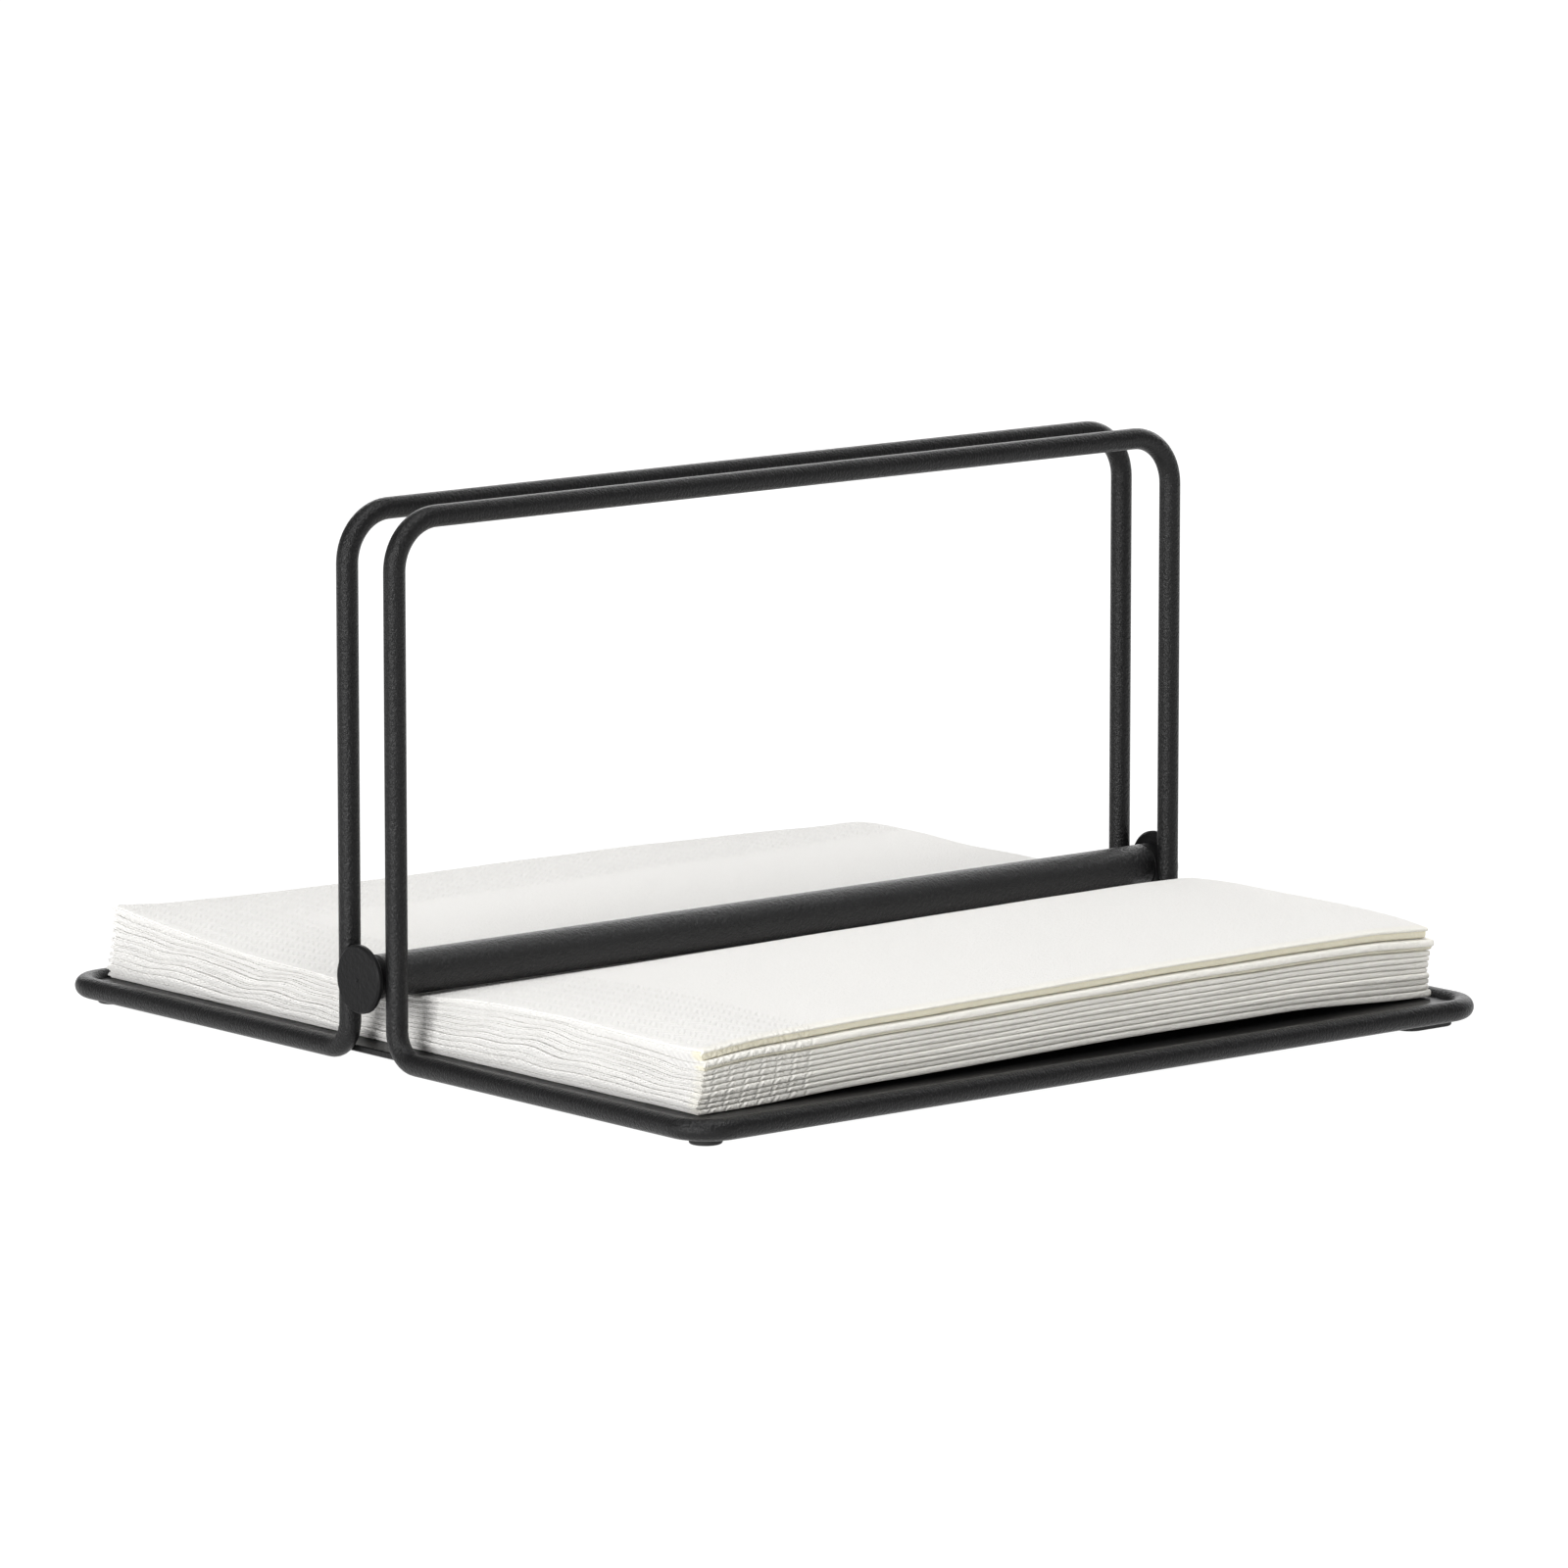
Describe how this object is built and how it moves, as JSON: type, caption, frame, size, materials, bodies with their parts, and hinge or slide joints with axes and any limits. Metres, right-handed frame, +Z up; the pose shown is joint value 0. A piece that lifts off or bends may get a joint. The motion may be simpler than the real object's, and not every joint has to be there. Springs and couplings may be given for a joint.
{
  "type": "napkin holder",
  "caption": "Square wire tray for folded paper napkins, with a pair of upright wire hoops that guide a loose weight bar lying across the stack.",
  "frame": {"origin": "on the table, at the middle of the square base", "axes": "+Z up; +X along the weight bar, to the right; napkins are pulled out towards -Y, the front"},
  "size_m": [0.1832, 0.18, 0.098],
  "materials": {
    "powder_coat": "satin",
    "bar_coat": "satin",
    "stud_steel": "satin",
    "pad_rubber": "matte",
    "napkin_paper": "matte"
  },
  "bodies": {
    "holder": {"front_frame": "powder_coat", "rear_frame": "powder_coat", "base_plate": "powder_coat", "foot_front_left": "pad_rubber", "foot_front_right": "pad_rubber", "foot_rear_left": "pad_rubber", "foot_rear_right": "pad_rubber", "napkin_1": "napkin_paper", "napkin_2": "napkin_paper"},
    "weight_bar": {"weight_rod": "bar_coat", "end_cap_left": "bar_coat", "end_cap_right": "bar_coat", "stud_left": "stud_steel", "stud_right": "stud_steel"},
    "napkin_pack": {"napkin_3": "napkin_paper", "napkin_4": "napkin_paper", "napkin_5": "napkin_paper", "napkin_6": "napkin_paper", "napkin_7": "napkin_paper", "napkin_8": "napkin_paper", "napkin_9": "napkin_paper"},
    "top_napkin": {"napkin_10": "napkin_paper"}
  },
  "joints": [
    {"name": "weight_bar_lift", "type": "slide", "parent": "holder", "child": "weight_bar", "axis": [0, 0, 1], "range_m": [0, 0.095]},
    {"name": "napkin_pack_slide", "type": "slide", "parent": "holder", "child": "napkin_pack", "axis": [0, -1, 0], "range_m": [0, 0.18]},
    {"name": "top_napkin_pull", "type": "slide", "parent": "napkin_pack", "child": "top_napkin", "axis": [0, -1, 0], "range_m": [0, 0.18]}
  ]
}
